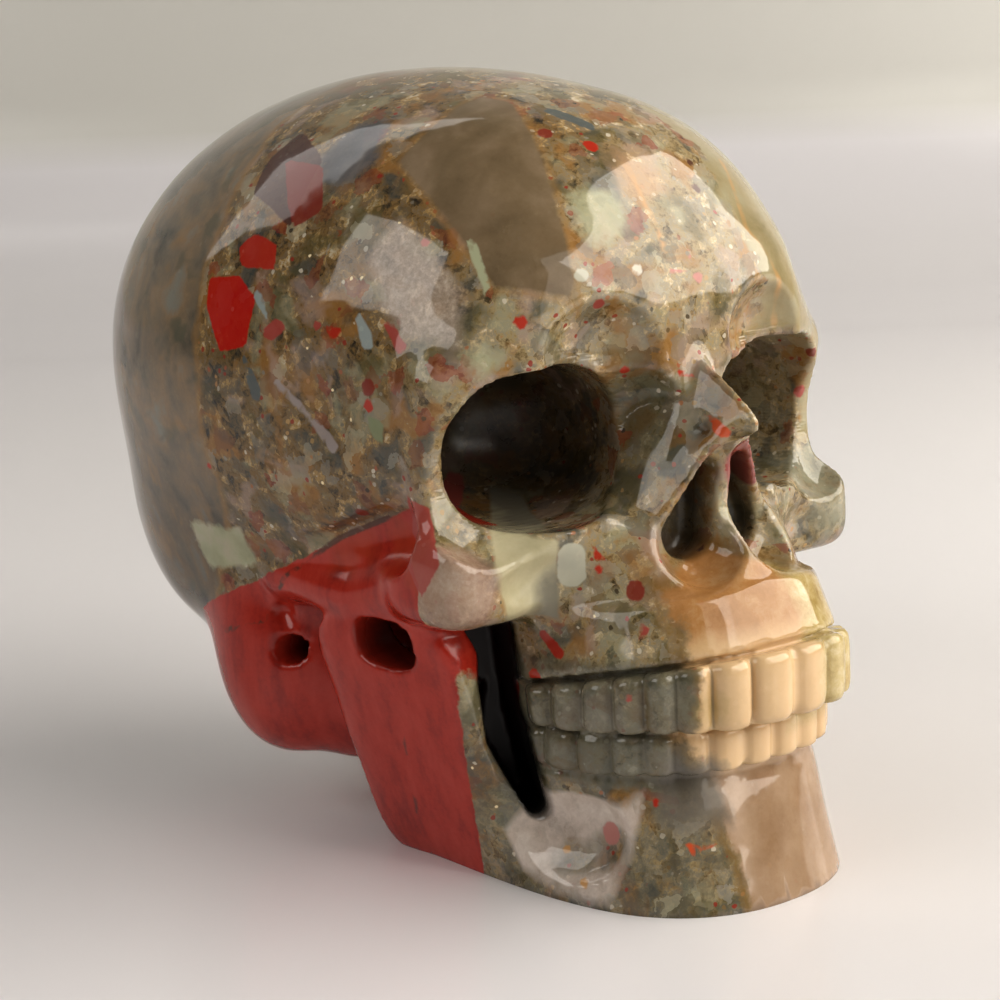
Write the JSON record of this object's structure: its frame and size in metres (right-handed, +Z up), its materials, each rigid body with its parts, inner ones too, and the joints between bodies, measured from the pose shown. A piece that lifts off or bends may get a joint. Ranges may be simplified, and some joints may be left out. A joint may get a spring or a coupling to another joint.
{
  "type": "bloodstone skull carving",
  "caption": "Palm-sized human skull carved from one piece of polished brecciated stone, standing on the flat underside of its jaw.",
  "frame": {"origin": "on the flat underside, on the middle line of the skull, below the ear openings", "axes": "+Z up from the surface it stands on, -Y the way the face looks, +X the skull's left side"},
  "size_m": [0.039, 0.06, 0.049],
  "materials": {
    "bloodstone": "polished"
  },
  "bodies": {
    "root": {"skull": "bloodstone"}
  },
  "joints": []
}
